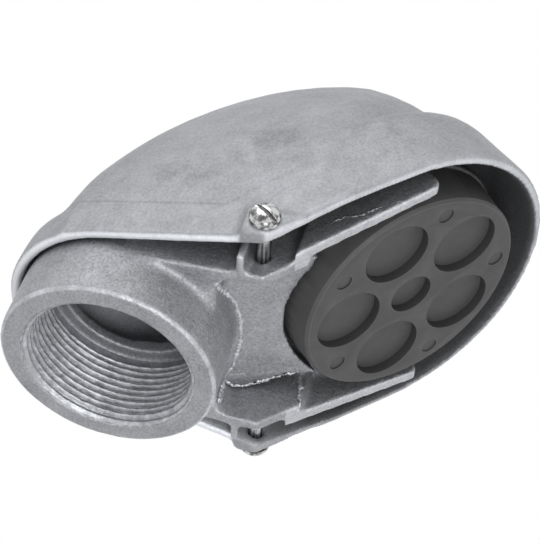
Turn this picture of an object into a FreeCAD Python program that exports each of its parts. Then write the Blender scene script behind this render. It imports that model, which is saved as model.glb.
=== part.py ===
import FreeCAD, Part
import math
import os

# Service entrance weatherhead: a cast body with a threaded conduit hub, a moulded
# insert with wire knockouts, a cast hood and the two screws that hold the hood.
# Millimetres and degrees. The origin is the centre of the hub mouth, +Z is up
# along the conduit, and the wires leave towards -Y, the front.

V = FreeCAD.Vector

# Conduit hub
conduit_radius = 24.1        # root of the pipe thread
thread_length = 22.0
hub_wall = 6.2
hub_draft = 1.5              # the hub narrows from its mouth upwards
hub_rim_bevel = 0.9
relief_depth = 0.8           # groove behind the thread
relief_length = 2.6
stop_reach = 3.7             # ring that the conduit's end stops at
stop_length = 3.4

# Insert
tilt = 45.0                  # slope of the insert face and of the hood's front rim
face_forward = 72.9          # centre of the insert face
face_up = 49.1
insert_radius = 33.8
insert_draft = 3.0
insert_height = 13.0
insert_edge = 0.8
insert_wall = 2.6
knockout_count = 5
knockout_edge = 3.5          # between a knockout and the rim of the face
knockout_gap = 3.9           # between neighbouring knockouts
knockout_depth = 2.8
knockout_skin = 1.8
pin_mark_edge = 5.5          # from the rim of the face to the centre of an ejector mark
pin_mark_radius = 2.4
pin_mark_depth = 0.5
spigot_inset = 4.2
spigot_clearance = 0.3
snap_bead = 0.7
snap_length = 1.6

# Body casting
seat_gap = 1.0               # between the insert and the round edge of the body
shelf_thickness = 2.5        # ring that the insert stands on
shelf_border = 3.2
shelf_rim = 2.4              # raised rim of the ring behind the insert
web_rise = 8.0               # web above the hood's back rim, where it leaves the hub
web_seat_depth = 8.7         # web behind the insert face, where it meets the seat
web_half_width = 24.0
web_wall = 3.2
pocket_depth = 8.0           # the web stands this far below the floor beside it
pocket_width = 5.2           # between the web and a side wall
shoulder_drop = 2.5          # flat shoulders beside the hub, below the hood's back rim
shoulder_setback = 3.9
shoulder_height = 14.0
side_wall = 3.2
side_start = 4.0
wing_jog = 3.4               # step outwards where a side wall becomes a wing
wing_gap = 1.4               # between the seat and the end of a wing
wing_reach = 6.4             # wing past the insert axis, along the slope
wing_setback = 0.1           # wing edge behind the insert face
wing_cover = 1.5             # wing past the back of the ring
wing_round = 3.0
rib_thickness = 2.0          # upright rib behind each screw
rib_height = 11.0
rib_gap = 1.5                # between the rib and the hood

# Hood casting
hood_wall = 3.0
hood_gap = 0.8               # between hub and hood
wing_space = 4.3             # between the wings and the hood
back_rim_up = 17.3
rim_setback = 2.1            # front rim behind the insert face
front_arc_setback = 1.8      # centre of the front arc behind the insert axis
flare = 14.5                 # each side of the hood spreads by this angle
hood_draft = 5.0
hub_headroom = 3.8           # between the top of the hub and the hood behind it
back_round = 8.0
front_height = 29.0          # skirt round the insert
front_round = 9.0
crown_step = 0.9             # the crown stands inside the skirt by this
crown_back_step = 10.2       # rear end of the crown inside the back of the skirt
crown_past_insert = 16.9     # front end of the crown past the centre of the insert face
crown_drop = 3.7             # middle of the crown below the centre of the insert face
crown_rise = 66.0
crown_slope = 14.2
crown_spring_drop = 12.0     # the arches start this far below the crown's centre line
crown_fullness = 0.5         # 1 gives a plan with elliptic ends, less gives fuller ends
crown_end = 86.0             # angle along the crown at which its first and last arch stand
crown_strips = 24            # facets of the crown from end to end and round each arch
crown_facets = 24
round_bands = 6              # facets of the rounded edges of the skirts
hollow_strips = 14           # the same for the hollow
hollow_facets = 14
hollow_bands = 2

# Cover screws and their pads on the hood
screw_setback = 1.6          # screw behind the corner of the hood's two rims
screw_rise = 4.9
screw_radius = 2.08
screw_clearance = 0.3
screw_fit = 0.02
screw_cover = 0.7            # metal of the side wall left behind a screw's hole
screw_tip_gap = 0.3
head_radius = 4.2
head_edge = 1.2
head_height = 3.1
head_bands = 3
slot_width = 1.1
slot_depth = 1.4
slot_turn = 34.0
pad_rear = 5.5               # from the screw
pad_front = 8.5              # from the screw to where the pad runs out in the skirt
pad_height = 8.2
jog_front = 8.5              # from the screw to the jog of the side wall

# Worked-out sizes
big = 200.0
same_place = 0.001
cos_tilt = math.cos(math.radians(tilt))
sin_tilt = math.sin(math.radians(tilt))
tan_tilt = math.tan(math.radians(tilt))
tan_draft = math.tan(math.radians(hood_draft))
hub_radius = conduit_radius + hub_wall
neck_radius = hub_radius - back_rim_up * math.tan(math.radians(hub_draft))
relief_start = thread_length
stop_start = relief_start + relief_length
hub_top = stop_start + stop_length

foot_radius = insert_radius + insert_height * math.tan(math.radians(insert_draft))
spigot_radius = insert_radius - spigot_inset
knockout_pitch = math.sin(math.pi / knockout_count)
knockout_circle = (insert_radius - knockout_edge + knockout_gap / 2) / (1 + knockout_pitch)
knockout_radius = knockout_circle * knockout_pitch - knockout_gap / 2
middle_pocket_radius = knockout_circle - knockout_radius - knockout_gap

seat_radius = foot_radius + seat_gap
shelf_depth = insert_height
shelf_back = shelf_depth + shelf_thickness
shelf_radius = seat_radius + shelf_border
shelf_hole_radius = spigot_radius + spigot_clearance
shoulder_up = back_rim_up - shoulder_drop
side_outer_end = web_half_width + pocket_width + side_wall
wing_start_side = side_outer_end + wing_jog
wing_end_side = seat_radius + wing_gap + side_wall

back_radius = neck_radius + hood_gap + hood_wall
back_top = hub_top + hub_headroom + hood_wall
front_radius = wing_end_side + wing_space + hood_wall


def at(side, forward, up):
    return V(side, -forward, up)


def slope_up(forward, depth):
    """Height of the plane that lies at a depth behind the insert face."""
    return face_up + (forward - face_forward) * tan_tilt + depth / cos_tilt


def slope_forward(up, depth):
    return face_forward + (up - face_up - depth / cos_tilt) / tan_tilt


def flare_side(inset, forward):
    """Half width of the hood's flared sides at the level of the back rim."""
    angle = math.radians(flare)
    return (back_radius - inset) / math.cos(angle) + forward * math.tan(angle)


rim_corner = slope_forward(back_rim_up, rim_setback)
screw_forward = rim_corner - screw_setback
screw_up = back_rim_up + screw_rise
pad_side = flare_side(0, screw_forward + pad_front)
jog_forward = screw_forward + jog_front


def side_outer(forward):
    """Outside of a side wall, from the hub to its jog."""
    share = (forward - side_start) / (jog_forward - side_start)
    return neck_radius + (side_outer_end - neck_radius) * share


screw_hole_end = side_outer(screw_forward) - side_wall + screw_cover


def polygon_face(points):
    return Part.Face(Part.makePolygon(points + points[:1]))


def plan_prism(points, low, high):
    """Upright prism on an outline of (side, forward) points."""
    return polygon_face([at(s, f, low) for s, f in points]).extrude(V(0, 0, high - low))


def side_prism(points, side_from, side_to):
    """Prism across the part on an outline of (forward, up) points."""
    face = polygon_face([at(side_from, f, u) for f, u in points])
    return face.extrude(V(side_to - side_from, 0, 0))


def cross_prism(points, forward_from, forward_to):
    """Prism along the part on an outline of (side, up) points."""
    face = polygon_face([at(s, forward_from, u) for s, u in points])
    return face.extrude(V(0, forward_from - forward_to, 0))


def turned(profile):
    """Solid of revolution about Z of a closed (radius, height) profile."""
    return polygon_face([V(r, 0, z) for r, z in profile]).revolve(V(), V(0, 0, 1), 360)


def drum(radius, low, high):
    return Part.makeCylinder(radius, high - low, V(0, 0, low))


def cross_drum(radius, side_from, side_to):
    """Cylinder on the axis of the cover screws."""
    return Part.makeCylinder(radius, side_to - side_from, at(side_from, screw_forward, screw_up), V(1, 0, 0))


def with_mirror(shape):
    return shape.fuse(shape.mirror(V(), V(1, 0, 0)))


def tilted(shape):
    """From the insert's own frame, Z inwards from its face, to the part's frame."""
    moved = shape.copy()
    placement = FreeCAD.Placement(at(0, face_forward, face_up), FreeCAD.Rotation(V(1, 0, 0), -tilt))
    moved.Placement = placement.multiply(moved.Placement)
    return moved


# Hood

def closed_outline(run, rear_middle, up):
    """Outline of straight runs on both sides, joined by an arc at the rear and a line in front."""
    right = [at(s, f, up) for s, f in run]
    left = [at(-s, f, up) for s, f in reversed(run)]
    path = right + left
    edges = [Part.LineSegment(a, b).toShape() for a, b in zip(path, path[1:])]
    edges.append(Part.Arc(left[-1], at(0, rear_middle, up), right[0]).toShape())
    return Part.Wire(edges)


def skirt_outline(inset, up):
    """Plan of the skirt at a height: round behind the hub, then flared to the front."""
    set_in = inset + (up - back_rim_up) * tan_draft
    radius = back_radius - set_in
    angle = math.radians(flare)
    touch = (radius * math.cos(angle), -radius * math.sin(angle))
    front = face_forward + front_radius
    return closed_outline([touch, (flare_side(set_in, front), front)], -radius, up)


def skirt(inset):
    return Part.makeLoft([skirt_outline(inset, 0), skirt_outline(inset, big)], True, True)


def rounded_top(radius, bands):
    """Steps (inwards, downwards) of a rounded edge, from its wall to its top."""
    turns = [math.pi / 2 * i / bands for i in range(bands + 1)]
    return [(radius * (1 - math.cos(t)), radius * (1 - math.sin(t))) for t in turns]


def back_cup(inset, bands):
    """Skirt behind the hub with its rounded top."""
    top = back_top - inset
    steps = rounded_top(back_round - inset, bands)
    outlines = [skirt_outline(inset, 0)]
    outlines += [skirt_outline(inset + inwards, top - down) for inwards, down in steps]
    behind_screw = Part.makeBox(2 * big, big + screw_forward, big, V(-big, -screw_forward, 0))
    return Part.makeLoft(outlines, True, True).common(behind_screw)


def front_outline(inset, depth):
    """Outline of the front skirt, square to the insert's axis, at a depth behind the insert face."""
    radius = front_radius - inset - (depth - rim_setback) * tan_draft
    rear = 2 * front_radius
    corners = [V(-radius, rear, depth), V(radius, rear, depth)]
    ends = [V(radius, front_arc_setback, depth), V(-radius, front_arc_setback, depth)]
    middle = V(0, front_arc_setback - radius, depth)
    return Part.Wire([
        Part.LineSegment(corners[0], corners[1]).toShape(),
        Part.LineSegment(corners[1], ends[0]).toShape(),
        Part.Arc(ends[0], middle, ends[1]).toShape(),
        Part.LineSegment(ends[1], corners[0]).toShape(),
    ])


def front_cup(inset, bands):
    """Skirt round the insert with its rounded top."""
    top = rim_setback + front_height - inset
    steps = rounded_top(front_round - inset, bands)
    outlines = [front_outline(inset, -rim_setback)]
    outlines += [front_outline(inset + inwards, top - down) for inwards, down in steps]
    return tilted(Part.makeLoft(outlines, True, True))


def crown_arch(inset, angle, facets):
    """Corners of a cross-section of the crown: straight sides under half an ellipse."""
    rear_end = crown_back_step - back_radius
    front_end = face_forward + crown_past_insert
    middle_forward = (front_end + rear_end) / 2
    half_length = (front_end - rear_end) / 2 - inset
    reach = math.cos(math.radians(angle))
    along = half_length * math.sin(math.radians(angle))
    forward = middle_forward + along
    middle = face_up - crown_drop + along * math.tan(math.radians(crown_slope))
    spring = middle - crown_spring_drop
    height = crown_spring_drop + (crown_rise - inset) * reach
    round_width = (front_radius - inset) * reach ** crown_fullness
    width = min(round_width, flare_side(inset, forward)) - crown_step
    turns = [math.pi * i / facets for i in range(facets + 1)]
    arch = [at(width * math.cos(t), forward, spring + height * math.sin(t)) for t in turns]
    return [at(width, forward, 0)] + arch + [at(-width, forward, 0)]


def facet_pair(corners, inside):
    """Two flat triangles on four corners, split so that they bulge away from a point inside."""
    a, b, c, d = corners
    if (a + c - inside * 2).Length > (b + d - inside * 2).Length:
        return [polygon_face([a, b, c]), polygon_face([a, c, d])]
    return [polygon_face([a, b, d]), polygon_face([b, c, d])]


def crown(inset, strips, facets):
    """Rounded top of the hood, in flat facets between its arches."""
    angles = [crown_end * (2 * i / strips - 1) for i in range(strips + 1)]
    arches = [crown_arch(inset, angle, facets) for angle in angles]
    inside = at(0, face_forward / 2, back_top)
    faces = [polygon_face(arches[0]), polygon_face(arches[-1])]
    for rear, front in zip(arches, arches[1:]):
        for i in range(len(rear)):
            faces += facet_pair([rear[i - 1], rear[i], front[i], front[i - 1]], inside)
    shell = Part.makeShell(faces)
    shell.sewShape()
    return Part.makeSolid(shell)


def hood_form(inset, bands, strips, facets):
    """The hood as a full body, set in by a wall thickness for its hollow."""
    front = front_cup(inset, bands).common(skirt(inset))
    return back_cup(inset, bands).fuse(front).fuse(crown(inset, strips, facets))


def pads():
    """Flat seats under the two screw heads."""
    top = back_rim_up + pad_height
    inner = flare_side(hood_wall, screw_forward)
    section = [
        (inner, back_rim_up), (pad_side, back_rim_up), (pad_side, top), (inner, top + pad_side - inner),
    ]
    return with_mirror(cross_prism(section, screw_forward - pad_rear, screw_forward + pad_front))


def hood():
    above_rim = side_prism(
        [(-big, back_rim_up), (rim_corner, back_rim_up), (big, slope_up(big, rim_setback)), (-big, 2 * big)],
        -big, big)
    hole = cross_drum(screw_radius + screw_clearance, -big, big)
    outside = hood_form(0, round_bands, crown_strips, crown_facets).fuse(pads())
    hollow = hood_form(hood_wall, hollow_bands, hollow_strips, hollow_facets)
    return outside.cut(hollow).common(above_rim).cut(hole)


# Body

def web_up(forward):
    """Underside of the web, which runs straight from the hub to the seat."""
    start_up = back_rim_up + web_rise
    end_forward = face_forward - seat_radius * cos_tilt - web_seat_depth * sin_tilt
    end_up = slope_up(end_forward, web_seat_depth)
    return start_up + (forward - neck_radius) * (end_up - start_up) / (end_forward - neck_radius)


def slope_band(low, high, half_width):
    """Inclined plate between two heights over the web's underside."""
    ends = (0, face_forward)
    lower = [(f, web_up(f) + low) for f in ends]
    upper = [(f, web_up(f) + high) for f in reversed(ends)]
    return side_prism(lower + upper, -half_width, half_width)


def web():
    """The web with its sunk pan and the raised floor of the pockets beside it."""
    pan = slope_band(0, pocket_depth + web_wall, web_half_width)
    floor = slope_band(pocket_depth, pocket_depth + web_wall, side_outer_end - side_wall / 2)
    hollow = slope_band(web_wall, big, web_half_width - web_wall)
    above_shoulders = Part.makeBox(2 * big, big, big, V(-big, -big, shoulder_up))
    return pan.fuse(floor).cut(hollow).common(above_shoulders)


def hub():
    """Hub without its bore, which leans in with the hood above the hood's rim."""
    top_radius = neck_radius - (hub_top - back_rim_up) * tan_draft
    return turned([
        (0, 0), (hub_radius - hub_rim_bevel, 0), (hub_radius, hub_rim_bevel),
        (neck_radius, back_rim_up), (top_radius, hub_top), (0, hub_top),
    ])


def hub_bore():
    stop_radius = conduit_radius - stop_reach
    relief_radius = conduit_radius + relief_depth
    return turned([
        (0, -hub_top), (conduit_radius, -hub_top), (conduit_radius, relief_start),
        (relief_radius, relief_start), (relief_radius, stop_start), (stop_radius, stop_start),
        (stop_radius, big), (0, big),
    ])


def shoulders():
    """Flat shelves that join the hub to the side walls."""
    end = neck_radius - shoulder_setback
    outer_end = end + side_wall
    right = [
        (neck_radius, 0), (side_outer(outer_end) - side_wall / 2, outer_end), (web_half_width, end),
    ]
    left = [(-s, f) for s, f in reversed(right)]
    return plan_prism(right + left, shoulder_up, shoulder_up + shoulder_height)


def side_wall_and_wing():
    """A side wall, which takes the screw and runs on as a wing beside the insert."""
    end_forward = face_forward + wing_reach * cos_tilt
    end_up = slope_up(end_forward, wing_setback)
    back_depth = shelf_back + wing_cover
    inner_jog = jog_forward + side_wall
    plan = [
        (neck_radius - side_wall, side_start), (neck_radius, side_start),
        (side_outer_end, jog_forward), (wing_start_side, jog_forward),
        (wing_end_side, end_forward), (wing_end_side - side_wall, end_forward),
        (wing_start_side - side_wall, inner_jog), (side_outer_end - side_wall, inner_jog),
    ]
    inward = (back_depth - wing_setback) * sin_tilt
    profile = [
        (side_start, shoulder_up), (slope_forward(shoulder_up, wing_setback), shoulder_up),
        (end_forward, end_up), (end_forward - inward, slope_up(end_forward - inward, back_depth)),
        (slope_forward(hub_top, back_depth), hub_top), (side_start, hub_top),
    ]
    wall = plan_prism(plan, 0, big).common(side_prism(profile, 0, big))
    corner = [e for e in wall.Edges if all(
        v.Point.distanceToPoint(at(v.X, end_forward, end_up)) < same_place for v in e.Vertexes)]
    return wall.makeFillet(wing_round, corner)


def side_rib():
    """Upright rib on a side wall, behind the screw."""
    rear = screw_forward - pad_rear
    root = side_outer(rear) - side_wall / 2
    reach = flare_side(hood_wall, rear) - rib_gap - root
    return Part.makeBox(reach, rib_thickness, rib_height, at(root, rear + rib_thickness, shoulder_up))


def shelf():
    """Ring that the insert stands on, with a raised rim on its rear half."""
    ring = drum(seat_radius, shelf_depth, shelf_back)
    rear_half = Part.makeBox(2 * big, big, big, V(-big, 0, 0))
    rim = drum(shelf_radius, shelf_depth - shelf_rim, shelf_back).common(rear_half)
    return tilted(ring.fuse(rim))


def body():
    sides = with_mirror(side_wall_and_wing().fuse(side_rib()))
    shell = web().fuse([hub(), shoulders(), sides, shelf()])
    seat = tilted(drum(seat_radius, -big, shelf_depth))
    opening = tilted(drum(shelf_hole_radius, 0, big))
    screw_holes = with_mirror(cross_drum(screw_radius + screw_fit, screw_hole_end, big))
    return shell.cut([seat, opening, hub_bore(), screw_holes])


# Insert

def insert():
    back = shelf_back
    hollow_radius = spigot_radius - insert_wall
    face_wall = knockout_depth + knockout_skin
    cup = turned([
        (0, 0), (insert_radius - insert_edge, 0), (insert_radius, insert_edge),
        (foot_radius, insert_height), (spigot_radius, insert_height),
        (spigot_radius, back + spigot_clearance),
        (spigot_radius + snap_bead, back + 2 * spigot_clearance),
        (spigot_radius, back + snap_length), (hollow_radius, back + snap_length),
        (hollow_radius, face_wall), (0, face_wall),
    ])
    pocket = drum(knockout_radius, -knockout_depth, knockout_depth)
    mark = drum(pin_mark_radius, -pin_mark_depth, pin_mark_depth)
    cuts = [drum(middle_pocket_radius, -knockout_depth, knockout_depth)]
    for i in range(knockout_count):
        turn = 2 * math.pi * i / knockout_count
        outwards = V(math.sin(turn), math.cos(turn), 0)
        cuts.append(pocket.translated(outwards * knockout_circle))
        cuts.append(mark.translated(outwards * (pin_mark_edge - insert_radius)))
    return tilted(cup.cut(cuts))


# Cover screws

def cover_screw():
    """Slotted round-head screw on the right, with its head on the hood's pad."""
    length = pad_side - screw_hole_end - screw_tip_gap
    rise = head_height - head_edge
    turns = [math.pi / 2 * i / head_bands for i in range(head_bands)]
    dome = [(head_radius * math.cos(t), head_edge + rise * math.sin(t)) for t in turns]
    head = turned([(0, 0), (head_radius, 0)] + dome + [(0, head_height)])
    shank = drum(screw_radius, -length, 0)
    slot = Part.makeBox(slot_width, big, head_height, V(-slot_width / 2, -big / 2, head_height - slot_depth))
    slot.rotate(V(), V(0, 0, 1), slot_turn)
    screw = head.fuse(shank).cut(slot)
    screw.Placement = FreeCAD.Placement(
        at(pad_side, screw_forward, screw_up), FreeCAD.Rotation(V(0, 0, 1), V(1, 0, 0)))
    return screw


def write(name, shape):
    solids = shape.removeSplitter().Solids
    result = solids[0] if len(solids) == 1 else Part.makeCompound(solids)
    result.exportStep(os.path.join("parts", name + ".step"))
    print(name, "solids", len(solids), "valid", result.isValid(), "volume", round(result.Volume, 1))


os.makedirs("parts", exist_ok=True)
right_screw = cover_screw()
write("body_casting", body())
write("hood", hood())
write("insert", insert())
write("cover_screws", Part.makeCompound([right_screw, right_screw.mirror(V(), V(1, 0, 0))]))
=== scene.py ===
import math

import bmesh
import bpy
import numpy as np
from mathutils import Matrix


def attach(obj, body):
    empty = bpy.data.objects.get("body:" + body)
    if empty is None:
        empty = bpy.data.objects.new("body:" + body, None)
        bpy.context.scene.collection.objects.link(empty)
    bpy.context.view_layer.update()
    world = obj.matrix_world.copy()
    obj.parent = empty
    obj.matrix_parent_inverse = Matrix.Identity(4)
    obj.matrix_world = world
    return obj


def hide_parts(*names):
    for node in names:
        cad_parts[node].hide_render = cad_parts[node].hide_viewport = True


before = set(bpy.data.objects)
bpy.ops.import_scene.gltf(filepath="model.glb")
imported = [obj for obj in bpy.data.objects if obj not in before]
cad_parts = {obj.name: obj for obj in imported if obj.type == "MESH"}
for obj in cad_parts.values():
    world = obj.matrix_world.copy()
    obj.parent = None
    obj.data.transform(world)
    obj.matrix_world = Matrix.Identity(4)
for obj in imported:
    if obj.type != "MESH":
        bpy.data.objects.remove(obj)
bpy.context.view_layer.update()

import openvdb
from mathutils import Matrix, Vector, noise
from mathutils.bvhtree import BVHTree

MM = 0.001
SLOPE = math.sqrt(0.5)       # sine and cosine of the insert's tilt


# Meshes, in millimetres

def shade_smooth(mesh):
    """Marks all faces of a mesh as smooth."""
    mesh.polygons.foreach_set("use_smooth", [True] * len(mesh.polygons))


def add_piece(name, mesh):
    """An object for a mesh, which rides on the part."""
    piece = bpy.data.objects.new(name, mesh)
    bpy.context.scene.collection.objects.link(piece)
    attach(piece, "root")
    return piece


def add_object(name, points, faces):
    """A smooth piece from its points and faces."""
    mesh = bpy.data.meshes.new(name)
    mesh.from_pydata((np.asarray(points) * MM).tolist(), [], faces)
    mesh.update()
    shade_smooth(mesh)
    return add_piece(name, mesh)


def node_triangles(node):
    """Points and triangles of a CAD node."""
    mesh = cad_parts[node].data
    mesh.calc_loop_triangles()
    points = np.empty(len(mesh.vertices) * 3, np.float32)
    mesh.vertices.foreach_get("co", points)
    triangles = np.empty(len(mesh.loop_triangles) * 3, np.int32)
    mesh.loop_triangles.foreach_get("vertices", triangles)
    return points.reshape(-1, 3) / MM, triangles.reshape(-1, 3)


def skin_arrays(piece):
    """Points and normals of a piece."""
    mesh = piece.data
    normals = np.empty(len(mesh.vertices) * 3, np.float32)
    mesh.vertex_normals.foreach_get("vector", normals)
    points = np.empty_like(normals)
    mesh.vertices.foreach_get("co", points)
    return points.reshape(-1, 3) / MM, normals.reshape(-1, 3)


def skin_tree(piece):
    """Search tree for the nearest place on a piece."""
    points = skin_arrays(piece)[0].tolist()
    return BVHTree.FromPolygons(points, [list(p.vertices) for p in piece.data.polygons])


def offset_surface(points, triangles, quads, voxel, distance):
    """The surface at a distance outside (or inside, if negative) of a closed one."""
    spare_voxels = 3
    grid = openvdb.FloatGrid.createLevelSetFromPolygons(
        np.ascontiguousarray(points, np.float32),
        triangles=np.ascontiguousarray(triangles, np.uint32),
        quads=np.ascontiguousarray(quads, np.uint32),
        transform=openvdb.createLinearTransform(voxel),
        halfWidth=abs(distance) / voxel + spare_voxels)
    return grid.convertToPolygons(isovalue=distance, adaptivity=0)


def neighbours(quads, total):
    """Both ends of each edge of a mesh of quads, and how often each point is an end."""
    a = quads.ravel()
    b = np.roll(quads, -1, axis=1).ravel()
    return a, b, np.bincount(a, minlength=total) + np.bincount(b, minlength=total)


def neighbour_mean(values, links):
    """Mean of each point's neighbours, by columns."""
    a, b, count = links
    total = len(values)
    sums = [np.bincount(a, column[b], total) + np.bincount(b, column[a], total)
            for column in values.T]
    return np.stack(sums, axis=1) / count[:, None]


def relax(points, links, times, swell, share=1.0, shrink=0.5):
    """Evens out a surface in turns of shrinking and swelling, or smooths it away with no swell."""
    for factor in [shrink, -swell] * times:
        points = points + factor * share * (neighbour_mean(points, links) - points)
    return points


def step(values, low, high):
    """From 0 below a range to 1 above it."""
    return np.clip((values - low) / (high - low), 0, 1)


def clamp(value):
    """A number held between 0 and 1."""
    return min(1.0, max(0.0, value))


def store(piece, name, values):
    """Keeps a number on each point for the materials."""
    layer = piece.data.attributes.new(name, "FLOAT", "POINT")
    layer.data.foreach_set("value", values.astype(np.float32))


def mark_wear_and_highlight(piece, links):
    """Stores how far each point stands out from those round it, which is where a casting rubs bright; the
    materials lighten these edges for wear and as a painted highlight.
    """
    smoothings = 2
    points, normals = skin_arrays(piece)
    stands_out = ((points - neighbour_mean(points, links)) * normals).sum(1)[:, None]
    for _ in range(smoothings):
        stands_out = (stands_out + neighbour_mean(stands_out, links)) / 2
    store(piece, "wear_and_highlight", step(stands_out[:, 0], low=0.03, high=0.14))


def mark_inside(piece, start, end):
    """Stores on each point how far its skin faces a line through the hollow."""
    points, normals = skin_arrays(piece)
    run = np.subtract(end, start)
    share = np.clip((points - start) @ run / (run @ run), 0, 1)
    outwards = points - (np.array(start) + share[:, None] * run)
    outwards /= np.linalg.norm(outwards, axis=1)[:, None]
    store(piece, "inside", step(-(normals * outwards).sum(1), low=0, high=0.33))


def lift_skin(piece, amount):
    """Slow waves of about an amount in a cast skin, but none in the hub's bore."""
    long_wave, short_wave, short_share = 0.09, 0.27, 0.5
    points, normals = skin_arrays(piece)
    waves = np.array([noise.noise(p * long_wave) + short_share * noise.noise(p * short_wave)
                      for p in map(Vector, points)])
    out_of_bore = step(np.hypot(points[:, 0], points[:, 1]), low=25, high=28)
    lifted = (points + normals * (waves * out_of_bore)[:, None] * amount) * MM
    piece.data.vertices.foreach_set("co", lifted.ravel())
    piece.data.update()


def softened(node, name, voxel, fillet, edge, unevenness, calm):
    """A node as it leaves its mould: fillets in its corners, rounded edges and an uneven skin."""
    points, triangles = node_triangles(node)
    quads = np.empty((0, 4), np.uint32)
    for distance in (fillet, -fillet - edge, edge):
        points, triangles, quads = offset_surface(points, triangles, quads, voxel, distance)
    quads = np.asarray(quads, int)[:, ::-1]
    links = neighbours(quads, len(points))
    points = relax(np.asarray(points, float), links, times=7, swell=0.52)
    points = relax(points, links, times=60, swell=0, share=calm(points)[:, None])
    piece = add_object(name, points, quads.tolist())
    mark_wear_and_highlight(piece, links)
    lift_skin(piece, unevenness)
    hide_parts(node)
    return piece


def bevelled(node, name, width):
    """A node with its outer edges broken by a narrow bevel, which is marked for wear and a painted highlight.
    """
    same_point = 0.02 * MM
    flat, sharp, crease = (math.radians(angle) for angle in (0.5, 30, 32))
    shape = bmesh.new()
    shape.from_mesh(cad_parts[node].data)
    bmesh.ops.remove_doubles(shape, verts=shape.verts, dist=same_point)
    bmesh.ops.dissolve_limit(shape, angle_limit=flat, verts=shape.verts, edges=shape.edges)
    wear_and_highlight = shape.faces.layers.float.new("wear_and_highlight")
    outer = [e for e in shape.edges if e.is_manifold and e.calc_face_angle_signed() > sharp]
    bevel = bmesh.ops.bevel(shape, geom=outer, offset=width * MM, segments=2, profile=0.5,
                            affect="EDGES", clamp_overlap=True)
    # The bevel faces are marked so that a material can lighten them as a painted highlight
    for face in bevel["faces"]:
        face[wear_and_highlight] = 1.0
    mesh = bpy.data.meshes.new(name)
    shape.to_mesh(mesh)
    shape.free()
    shade_smooth(mesh)
    mesh.set_sharp_from_angle(angle=crease)
    piece = add_piece(name, mesh)
    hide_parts(node)
    return piece


def thread_sleeve():
    """Pipe thread in the hub: a sleeve with a right-hand ridge, its back buried in the wall of the bore."""
    root, back, height, pitch = 24.0, 25.6, 1.35, 2.209
    start, end = 0.15, 24.6
    first, run_in, last, run_out = 0.2, 1.8, 22.2, 1.6       # ends of the ridge, and how long it fades
    mouth_depth, mouth_flare = 0.5, 3
    valley, flank = 0.12, 0.72           # shares of half a pitch
    torn_share, torn_scale = 0.3, 25
    columns, rows = 224, 132
    angles = [2 * math.pi * j / columns for j in range(columns)]
    circle = [(math.cos(angle), math.sin(angle)) for angle in angles]
    points = []
    for z in np.linspace(start, end, rows + 1):
        fade = clamp((z - first) / run_in) * clamp((last - z) / run_out)
        flare = max(0.0, mouth_flare * (mouth_depth - z))
        for j, (x, y) in enumerate(circle):
            crest = 1 - abs(2 * ((z / pitch - j / columns) % 1.0) - 1)
            torn = 1 - torn_share * max(0.0, noise.noise((torn_scale * x, torn_scale * y, z)))
            radius = root + flare - fade * torn * height * clamp((crest - valley) / flank)
            points.append((radius * x, radius * y, z))
    for z in (end, start):
        points += [(back * x, back * y, z) for x, y in circle]
    rings = rows + 3
    faces = []
    for i in range(rings):
        for j in range(columns):
            here, above, k = i * columns, (i + 1) % rings * columns, (j + 1) % columns
            faces.append((here + j, above + j, above + k, here + k))
    return add_object("conduit_thread", points, faces)


def flash_line(name, path, skin, width, height, wander):
    """A ragged ridge of metal that crept between the halves of the mould, along a path on a skin."""
    spacing, sunk, taper = 0.3, 0.1, 8           # it tapers over an eighth of its length at each end
    bending, ragged, jagged = 0.2, 1.1, 1.7      # noise per millimetre in its course, width and height
    mean_width, width_play, tip_width = 0.8, 0.9, 0.3
    mean_rise, rise_play, far_rise = 0.6, 1.3, 0.8
    top_width, leaning = 0.3, 0.7
    corners = 4
    path = np.array(path, float)
    run = np.concatenate([[0], np.cumsum(np.linalg.norm(np.diff(path, axis=0), axis=1))])
    count = int(run[-1] / spacing)
    stations = [run[-1] * i / count for i in range(count + 1)]
    places = [Vector([np.interp(at, run, column) for column in path.T]) for at in stations]
    points = []
    for i, place in enumerate(places):
        along = places[min(i + 1, count)] - places[max(i - 1, 0)]
        foot, normal = skin.find_nearest(place)[:2]
        side = normal.cross(along).normalized()
        foot = skin.find_nearest(foot + side * noise.noise(place * bending) * width * wander)[0]
        ends = min(1.0, taper * min(i, count - i) / count)
        half = width / 2 * (mean_width + width_play * noise.noise(place * ragged))
        half *= tip_width + (1 - tip_width) * ends
        rise = height * (mean_rise + rise_play * noise.noise(place * jagged + side)) * ends
        lean = side * half * leaning * noise.noise(place * ragged - side)
        points += [foot - side * half - normal * sunk,
                   foot - side * half * top_width + lean + normal * rise,
                   foot + side * half * top_width + lean + normal * rise * far_rise,
                   foot + side * half - normal * sunk]
    last = corners * count
    faces = [tuple(range(corners - 1, -1, -1)), tuple(range(last, last + corners))]
    for i in range(count):
        for j in range(corners):
            a, b = corners * i + j, corners * i + (j + 1) % corners
            faces.append((a, b, b + corners, a + corners))
    return add_object(name, points, faces)


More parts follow.
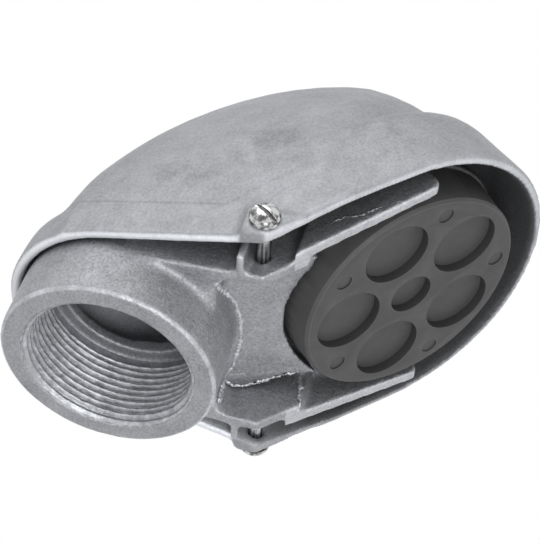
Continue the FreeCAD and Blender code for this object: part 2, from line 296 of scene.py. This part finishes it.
def web_lip(name, edge, turn):
    """The web's edge beside the hub, where it spreads over the pocket; edge holds points of its rim."""
    out_of_web = Vector((0, -0.387, -0.923))
    spacing, ragged = 0.3, 0.3
    root, joint, proud = 21.2, 22.2, 0.04        # inside the web, on its face, and just over it
    corners = 6
    across, back, up = np.array(edge, float).T
    places = np.arange(back[0], back[-1], -spacing)
    points = []
    for y in places:
        z = np.interp(-y, -back, up)
        rim = np.interp(-y, -back, across) + ragged * noise.noise((y, 0, z))
        # Corners as distances from the middle and heights over the web's face
        section = [(root, -1.2), (rim - 0.3, -1.0), (rim, -0.4),
                   (rim - 0.4, proud), (joint, proud), (root, -0.2)]
        points += [Vector((turn * x, y, z)) + out_of_web * high for x, high in section]
    last = corners * (len(places) - 1)
    faces = [tuple(range(corners)), tuple(range(last + corners - 1, last - 1, -1))]
    for i in range(len(places) - 1):
        for j in range(corners):
            a, b = corners * i + j, corners * i + (j + 1) % corners
            faces.append((a, a + corners, b + corners, b))
    return add_object(name, points, [face[::turn] for face in faces])


def crown_corners(points):
    """Where the hood's round end runs into its flared sides, above the skirt."""
    flare_start = 19
    beside = 1 - step(np.abs(points[:, 1] - flare_start), low=4, high=12)
    above = step(points[:, 2], low=30, high=36)
    return beside * above * step(np.abs(points[:, 0]), low=8, high=16)


def near(points, place, low, high):
    """1 up to a low distance from a place, 0 beyond a high one."""
    return 1 - step(np.linalg.norm(points - np.array(place), axis=1), low, high)


def fettled_spots(points):
    """The web's corner beside the near wing, which was fettled off, and where the web meets hub and wall."""
    corner = near(points, (-23.9, -48.3, 34.0), low=1.8, high=3.6)
    mirrored = np.column_stack([np.abs(points[:, 0]), points[:, 1:]])
    return np.maximum(corner, near(mirrored, (22.8, -25.8, 16.6), low=2.5, high=5.5))


body = softened("body_casting", "body",
                voxel=0.58, fillet=1.2, edge=0.0, unevenness=0.08, calm=fettled_spots)
hood = softened("hood", "rain_hood",
                voxel=0.87, fillet=1.2, edge=0.6, unevenness=0.10, calm=crown_corners)
# The hood's inner skin, which its material darkens as painted shade
mark_inside(hood, start=(0, 5, 20), end=(0, -72, 62))
insert = bevelled("insert", "wire_insert", width=0.2)
screws = bevelled("cover_screws", "hood_screws", width=0.1)
thread = thread_sleeve()

# Paths of the flash lines and the rim of the web's lip; all but the first are for the right side
hub_arc = [(-17.5, -26.2, 22.5), (-14.4, -26.6, 23.5), (-8.3, -29.0, 24.7), (0.5, -30.6, 25.6),
           (10.3, -30.3, 25.5), (18.8, -28.4, 24.7), (23.0, -26.6, 23.4)]
hub_tip = [(25.8, -25.7, 14.9), (23.5, -26.0, 16.6), (21.1, -25.9, 18.6), (18.2, -26.0, 20.6),
           (15.5, -26.0, 22.5), (12.7, -27.1, 23.8), (10.5, -28.2, 24.3)]
pan_edge = [(25.1, -26.4, 15.6), (25.3, -26.8, 20.0), (24.8, -27.2, 22.6), (24.2, -27.6, 23.8)]
pocket_end = [(29.0, -45.6, 35.6), (29.1, -46.8, 31.8), (29.4, -47.7, 28.5), (31.0, -47.3, 24.0)]
wing_side = [(36.6, -51.3, 34.6), (37.1, -54.5, 38.2), (37.6, -58.3, 39.5), (38.2, -63.4, 43.1)]
lip_edge = [(23.6, -26.8, 24.0), (25.6, -27.4, 24.2), (27.0, -28.8, 24.8), (27.5, -31.0, 25.7),
            (27.5, -33.0, 26.6), (27.0, -35.2, 27.5), (25.4, -39.0, 29.1), (24.2, -42.5, 30.5),
            (23.6, -46.5, 32.2)]
lip_flash_inset = 0.5
side_flashes = [dict(place="hub_tip", path=hub_tip, width=2.6, height=0.45, wander=0.2),
                dict(place="pan", path=pan_edge, width=3.2, height=0.55, wander=0.2),
                dict(place="pocket", path=pocket_end, width=2.2, height=0.4, wander=0.4),
                dict(place="wing", path=wing_side, width=1.5, height=0.22, wander=0.6)]

body_skin = skin_tree(body)
flashes = [flash_line("flash_hub", hub_arc, body_skin, width=1.9, height=0.34, wander=0.25)]
lips = []
for label, turn in (("left", -1), ("right", 1)):
    for flash in side_flashes:
        mirrored = [(turn * x, y, z) for x, y, z in flash["path"]]
        flashes.append(flash_line(f"flash_{flash['place']}_{label}", mirrored, body_skin,
                                  flash["width"], flash["height"], flash["wander"]))
    lip = web_lip(f"web_lip_{label}", lip_edge, turn)
    rim = [(turn * (x - lip_flash_inset), y, z) for x, y, z in lip_edge]
    flashes.append(flash_line(f"flash_lip_{label}", rim, skin_tree(lip), width=1.7, height=0.45, wander=0.1))
    lips.append(lip)


# Materials, with places in metres and relief in millimetres

class Nodes:
    """Short-hand for building a node material."""

    def __init__(self, name):
        self.material = bpy.data.materials.new(name)
        self.material.use_nodes = True
        self.tree = self.material.node_tree
        self.shader = self.tree.nodes["Principled BSDF"]
        coordinates = self.tree.nodes.new("ShaderNodeTexCoord").outputs
        self.place = coordinates["Object"]
        self.facing = coordinates["Normal"]

    def feed(self, socket, value):
        """Links a socket to another one, or sets it to a constant."""
        if isinstance(value, bpy.types.NodeSocket):
            self.tree.links.new(value, socket)
        else:
            socket.default_value = value

    def add(self, kind, inputs=(), **settings):
        """A node with its settings, and its inputs by name or number."""
        node = self.tree.nodes.new(kind)
        for key, value in settings.items():
            setattr(node, key, value)
        for key, value in dict(inputs).items():
            self.feed(node.inputs[key], value)
        return node

    def noise(self, scale, detail=4.0, roughness=0.55, distortion=0.0):
        """Cloudy noise, mostly from 0.3 to 0.7."""
        node = self.add("ShaderNodeTexNoise", {
            "Vector": self.place, "Scale": scale, "Detail": detail,
            "Roughness": roughness, "Distortion": distortion})
        return node.outputs["Fac"]

    def pits(self, scale):
        """Distance from the nearest of scattered points."""
        return self.add("ShaderNodeTexVoronoi", {"Vector": self.place, "Scale": scale}).outputs["Distance"]

    def stored(self, name):
        """A number that a mesh keeps on its points or faces."""
        return self.add("ShaderNodeAttribute", attribute_name=name).outputs["Fac"]

    def split(self, vector):
        """The X, Y and Z of a vector."""
        return self.add("ShaderNodeSeparateXYZ", {0: vector}).outputs

    def length(self, x, y):
        """Length of a flat vector."""
        flat = self.add("ShaderNodeCombineXYZ", {"X": x, "Y": y}).outputs["Vector"]
        return self.add("ShaderNodeVectorMath", {0: flat}, operation="LENGTH").outputs["Value"]

    def ramp(self, value, low, high, start=0.3, end=0.7):
        """Goes from low to high while a value goes from start to end, and stays there."""
        node = self.add("ShaderNodeMapRange", {
            "Value": value, "From Min": start, "From Max": end, "To Min": low, "To Max": high})
        return node.outputs["Result"]

    def math(self, operation, a, b=0.0):
        """One step of arithmetic."""
        return self.add("ShaderNodeMath", {0: a, 1: b}, operation=operation).outputs["Value"]

    def total(self, first, *others):
        """Sum of some values."""
        for value in others:
            first = self.math("ADD", first, value)
        return first

    def product(self, a, b):
        """Product of two values."""
        return self.math("MULTIPLY", a, b)

    def colour(self, red, green, blue):
        """A colour from its channels."""
        return self.add("ShaderNodeCombineColor", {"Red": red, "Green": green, "Blue": blue}).outputs["Color"]

    def grey(self, value):
        """A plain grey."""
        return self.colour(value, value, value)

    def silver(self, value):
        """The faintly blue grey of aluminium."""
        less_red, more_blue = 0.978, 1.054
        return self.colour(self.product(value, less_red), value, self.product(value, more_blue))

    def bump(self, height, depth, normal=None):
        """Relief of a depth in millimetres, on top of another one if given."""
        inputs = {"Height": height, "Distance": depth * MM, "Strength": 1.0}
        if normal is not None:
            inputs["Normal"] = normal
        return self.add("ShaderNodeBump", inputs).outputs["Normal"]

    def set(self, **sockets):
        """The finished material, from what its shader takes."""
        for key, value in sockets.items():
            self.feed(self.shader.inputs[key.replace("_", " ")], value)
        return self.material


def sloping(n, across):
    """Distance along the axis of the insert."""
    return n.product(n.math("ADD", across["Y"], across["Z"]), SLOPE)


def mottled(n, dark, light, spread):
    """Tone of a cast skin: clouds, small stains and grain."""
    clouds = n.ramp(n.noise(48, detail=5, roughness=0.6, distortion=0.4), dark, light)
    stains = n.ramp(n.noise(150, detail=6, roughness=0.65), -spread / 2, spread / 2)
    grain = n.ramp(n.noise(1300, detail=3), -spread, spread)
    return n.total(clouds, stains, grain)


def cast_bump(n, amount):
    """Relief of a cast skin: lumps, pits and grain."""
    lumps = n.bump(n.noise(520, roughness=0.6), depth=0.16 * amount)
    pits = n.ramp(n.pits(1000), 0, 1, start=0, end=0.35)
    pitted = n.bump(pits, depth=0.06 * amount, normal=lumps)
    return n.bump(n.noise(2400, detail=3), depth=0.04 * amount, normal=pitted)


def ground_rims_and_highlight(n, across, slope):
    """How much brighter the hood's edges are where they are ground, behind its pads and in front; the
    brightness is partly a painted highlight, and in front it is painted on the near side only.
    """
    behind_pads = n.ramp(across["Y"], 0, 1, start=-0.0315, end=-0.0305)
    back = n.product(behind_pads, n.ramp(across["Z"], 0.46, 0, start=0.0177, end=0.0183))
    # Painted highlight: the front rim brighter on the near side than on the far side
    near_side_highlight = n.ramp(across["X"], 0.3, 0, start=-0.035, end=0.02)
    front = n.product(n.ramp(slope, 1, 0, start=-0.0146, end=-0.0140), near_side_highlight)
    return n.math("MAXIMUM", back, front)


def skirt_crease_shade(n, across, slope):
    """Painted shade: a faint dark line along the crease between the hood's skirt and its crown."""
    skirt_top, front_skirt_top = 0.0303, 0.0043
    above_skirt = n.math("MINIMUM", n.math("SUBTRACT", across["Z"], skirt_top),
                         n.math("SUBTRACT", slope, front_skirt_top))
    line = n.ramp(n.math("ABSOLUTE", above_skirt), -0.07, 0, start=0.0001, end=0.0007)
    return n.product(line, n.ramp(across["Y"], 0, 1, start=-0.045, end=-0.02))


def near_side_dark_spots(n):
    """Darker spots with ragged edges on the near side of the hood, one value each."""
    raggedness = 0.8
    stains = [((-39.4, -31.1, 59.1), 11, -0.08), ((-37.1, -16.4, 46.3), 11, -0.05),
              ((-34.8, -7.9, 44.9), 8, -0.05), ((-44.9, -56.4, 66.5), 12, -0.05)]
    marks = []
    for place, radius, depth in stains:
        middle = tuple(Vector(place) * MM)
        away = n.add("ShaderNodeVectorMath", {0: n.place, 1: middle}, operation="DISTANCE").outputs["Value"]
        reach = raggedness * radius * MM
        ragged = n.math("ADD", away, n.ramp(n.noise(130, detail=5, roughness=0.65), -reach, reach))
        marks.append(n.ramp(ragged, depth, 0, start=0, end=radius * MM))
    return marks


def cast_hood():
    """Tumbled aluminium, bright where its rims are ground and by a painted highlight, with painted shade
    inside and darker spots on its near side.
    """
    rim_weight = 3                       # keeps the ground rims out of the painted shade inside
    n = Nodes("cast_hood")
    across = n.split(n.place)
    slope = sloping(n, across)
    ground_and_highlight = ground_rims_and_highlight(n, across, slope)
    # Edges lighter, partly for wear and partly as a painted highlight
    edge_wear_and_highlight = n.ramp(n.stored("wear_and_highlight"), 0, 0.15, start=0, end=1)
    clouded = mottled(n, dark=0.37, light=0.44, spread=0.06)
    skin = n.total(clouded, edge_wear_and_highlight, ground_and_highlight, skirt_crease_shade(n, across, slope), *near_side_dark_spots(n))
    hollow = n.math("SUBTRACT", n.stored("inside"), n.product(ground_and_highlight, rim_weight))
    inside = n.ramp(hollow, 0, 1, start=0, end=1)
    # Painted shade and light inside the hood: darker towards the front rim, lighter deep inside
    inner_shade = n.product(n.ramp(across["Y"], 0.3, 1.4, start=-0.05, end=-0.02),
                     n.ramp(across["Z"], 1, 0.85, start=0.031, end=0.034))
    kept = n.math("ADD", 1, n.product(inside, n.math("SUBTRACT", inner_shade, 1)))
    rough = n.math("ADD", n.ramp(n.noise(240, detail=5), 0.5, 0.62), n.ramp(hollow, 0, 0.25, start=0, end=1))
    return n.set(Base_Color=n.silver(n.product(skin, kept)), Roughness=rough, Metallic=0.5,
                 Normal=cast_bump(n, amount=1.0))


def cast_body():
    """Aluminium as it comes from the mould: edges lighter by wear and a painted highlight, painted shade in
    its corners and under the hood, and ground wing edges with a painted highlight.
    """
    n = Nodes("cast_body")
    across = n.split(n.place)
    from_axis = n.length(across["X"], across["Y"])
    # Wing edges brighter where ground, with a painted highlight
    past_jog = n.ramp(across["Y"], 1, 0, start=-0.0455, end=-0.0450)
    ground_and_highlight = n.product(past_jog, n.ramp(sloping(n, across), 0.2, 0, start=-0.0164, end=-0.0160))
    # Turned chamfer round the hub's mouth, brighter, partly as a painted highlight
    mouth_edge = n.product(n.ramp(across["Z"], 1, 0, start=0.0009, end=0.0013),
                           n.ramp(from_axis, 0, 1, start=0.0292, end=0.0295))
    turned_chamfer_and_highlight = n.product(mouth_edge, n.ramp(n.noise(190, detail=5, roughness=0.65), 0.04, 0.34))
    out_of_bore = n.ramp(from_axis, 0, 1, start=0.0235, end=0.0255)
    # Edges lighter, partly for wear and partly as a painted highlight
    edge_wear_and_highlight = n.product(n.ramp(n.stored("wear_and_highlight"), 0, 0.3, start=0, end=1), out_of_bore)
    skin = n.total(mottled(n, dark=0.35, light=0.45, spread=0.09), edge_wear_and_highlight, ground_and_highlight, turned_chamfer_and_highlight)
    # Painted shade under the hood, between the side walls
    between_walls = n.ramp(n.math("ABSOLUTE", across["X"]), 1, 0, start=0.032, end=0.035)
    shade_under_hood = n.product(between_walls, n.ramp(across["Z"], 0, 0.65, start=0.050, end=0.060))
    shaded_skin = n.product(skin, n.math("SUBTRACT", 1, shade_under_hood))
    # Painted shade in corners, from ambient occlusion
    corners = n.add("ShaderNodeAmbientOcclusion", {"Distance": 0.014}, samples=8).outputs["AO"]
    tone = n.product(shaded_skin, n.ramp(corners, 0.5, 1, start=0.2, end=0.8))
    rough = n.ramp(n.noise(240, detail=5), 0.44, 0.58)
    return n.set(Base_Color=n.silver(tone), Roughness=rough, Metallic=0.55,
                 Normal=cast_bump(n, amount=1.7))


def torn_metal(name, dark, light, metallic):
    """Bare metal with a torn surface, as on cut threads and broken flash."""
    n = Nodes(name)
    tone = n.ramp(n.noise(420, detail=6, roughness=0.7), dark, light)
    rough = n.ramp(n.noise(900), 0.32, 0.5)
    torn = n.bump(n.noise(700, detail=5, roughness=0.7), depth=0.25)
    return n.set(Base_Color=n.silver(tone), Roughness=rough, Metallic=metallic, Normal=torn)


def moulded_plastic():
    """Dull black moulding, with painted shade on the walls of the hollows in its face and a painted highlight
    on its bevels.
    """
    face_middle = 0.0863
    n = Nodes("black_moulding")
    across = n.split(n.place)
    along_face = n.product(n.math("SUBTRACT", across["Z"], across["Y"]), SLOPE)
    from_middle = n.length(across["X"], n.math("SUBTRACT", along_face, face_middle))
    within_rim = n.ramp(from_middle, 1, 0, start=0.0305, end=0.0315)
    level = n.math("ABSOLUTE", sloping(n, n.split(n.facing)))
    # Painted shade on the walls of the hollows in the face
    wall_shade = n.product(within_rim, n.ramp(level, 0.5, 0, start=0.3, end=0.8))
    clouds = n.ramp(n.noise(90, detail=5, roughness=0.6), 0.074, 0.090)
    # Bevels a little lighter: a painted highlight
    skin = n.math("ADD", clouds, n.ramp(n.stored("wear_and_highlight"), 0, 0.03, start=0, end=1))
    tone = n.product(skin, n.math("SUBTRACT", 1, wall_shade))
    rough = n.ramp(n.noise(300), 0.5, 0.62)
    grain = n.bump(n.noise(1800), depth=0.03)
    return n.set(Base_Color=n.grey(tone), Roughness=rough, Normal=grain)


def zinc_plate():
    """Bright plate with painted dark reflections that follow the direction of its surface."""
    n = Nodes("bright_zinc")
    # Painted dark reflections, by the direction of the surface
    painted_reflections = n.add("ShaderNodeTexNoise", {"Vector": n.facing, "Scale": 2.2, "Detail": 2.0}).outputs["Fac"]
    tone = n.math("ADD", n.ramp(painted_reflections, 0.16, 0.62, start=0.44, end=0.56), n.ramp(n.noise(700), -0.06, 0.06))
    rough = n.ramp(n.noise(900), 0.16, 0.28)
    grain = n.bump(n.noise(900, detail=3), depth=0.02)
    return n.set(Base_Color=n.grey(tone), Roughness=rough, Metallic=1.0, Normal=grain)


def paint(piece, material):
    """Gives a piece its one material."""
    piece.data.materials.clear()
    piece.data.materials.append(material)


body_metal = cast_body()
for piece in (body, *lips):
    paint(piece, body_metal)
paint(thread, torn_metal("cut_thread", dark=0.32, light=0.74, metallic=0.7))
flash_metal = torn_metal("flash_metal", dark=0.5, light=0.8, metallic=0.5)
for piece in flashes:
    paint(piece, body_metal if "wing" in piece.name else flash_metal)
paint(hood, cast_hood())
paint(insert, moulded_plastic())
paint(screws, zinc_plate())


# Stage, in metres

def seen_directly(tree, low, high):
    """One number for rays of light, another for what the camera, metal and glass see."""
    path = tree.nodes.new("ShaderNodeLightPath").outputs
    seen = path["Is Camera Ray"]
    for kind in ("Is Glossy Ray", "Is Transmission Ray"):
        either = tree.nodes.new("ShaderNodeMath")
        either.operation = "MAXIMUM"
        tree.links.new(seen, either.inputs[0])
        tree.links.new(path[kind], either.inputs[1])
        seen = either.outputs[0]
    choice = tree.nodes.new("ShaderNodeMapRange")
    choice.inputs["To Min"].default_value = low
    choice.inputs["To Max"].default_value = high
    tree.links.new(seen, choice.inputs["Value"])
    return choice.outputs["Result"]


def white_world():
    """White for what looks at it, softer as a light."""
    world = bpy.data.worlds.new("studio")
    world.use_nodes = True
    background = world.node_tree.nodes["Background"]
    background.inputs["Color"].default_value = (1, 1, 1, 1)
    strength = seen_directly(world.node_tree, low=0.36, high=1.0)
    world.node_tree.links.new(strength, background.inputs["Strength"])
    bpy.context.scene.world = world


def floor():
    """Pale studio floor, well below the camera."""
    size, height = 30.0, -1.1
    corners = [(-size, -size, height), (size, -size, height), (size, size, height), (-size, size, height)]
    mesh = bpy.data.meshes.new("floor")
    mesh.from_pydata(corners, [], [(0, 1, 2, 3)])
    plane = bpy.data.objects.new("floor", mesh)
    bpy.context.scene.collection.objects.link(plane)
    n = Nodes("pale_floor")
    glow = seen_directly(n.tree, low=0.0, high=0.55)
    paint(plane, n.set(Base_Color=(0.86, 0.86, 0.86, 1), Roughness=0.8,
                       Emission_Color=(1, 1, 1, 1), Emission_Strength=glow))


def lamp(name, place, target, size, watts):
    """A soft round lamp that faces a target."""
    light = bpy.data.lights.new(name, "AREA")
    light.shape = "DISK"
    light.size = size
    light.energy = watts
    holder = bpy.data.objects.new(name, light)
    holder.location = place
    holder.rotation_euler = (Vector(target) - Vector(place)).to_track_quat("-Z", "Y").to_euler()
    bpy.context.scene.collection.objects.link(holder)


def camera():
    """The photograph's view: from below, past the hub, at the near side."""
    place = (-0.4571, -0.1250, -0.3609)
    look = Vector((0.73811, 0.14855, 0.65812)).normalized()
    right = look.cross(Vector((-0.6732, 0.2116, 0.7085))).normalized()
    up = right.cross(look)
    data = bpy.data.cameras.new("camera")
    data.sensor_width = 36.0
    data.lens = 147.7
    data.clip_start = 0.01
    holder = bpy.data.objects.new("camera", data)
    turn = Matrix((right, up, -look)).transposed().to_4x4()
    holder.matrix_world = Matrix.Translation(place) @ turn
    bpy.context.scene.collection.objects.link(holder)
    bpy.context.scene.camera = holder


middle = (0, -0.035, 0.055)
white_world()
floor()
lamp("key", place=(-0.68, 0.3, 0.58), target=middle, size=0.7, watts=2.2)
lamp("low_fill", place=(-0.4, -0.31, -0.65), target=middle, size=0.4, watts=3.1)
camera()

bpy.context.scene.view_settings.view_transform = "Standard"
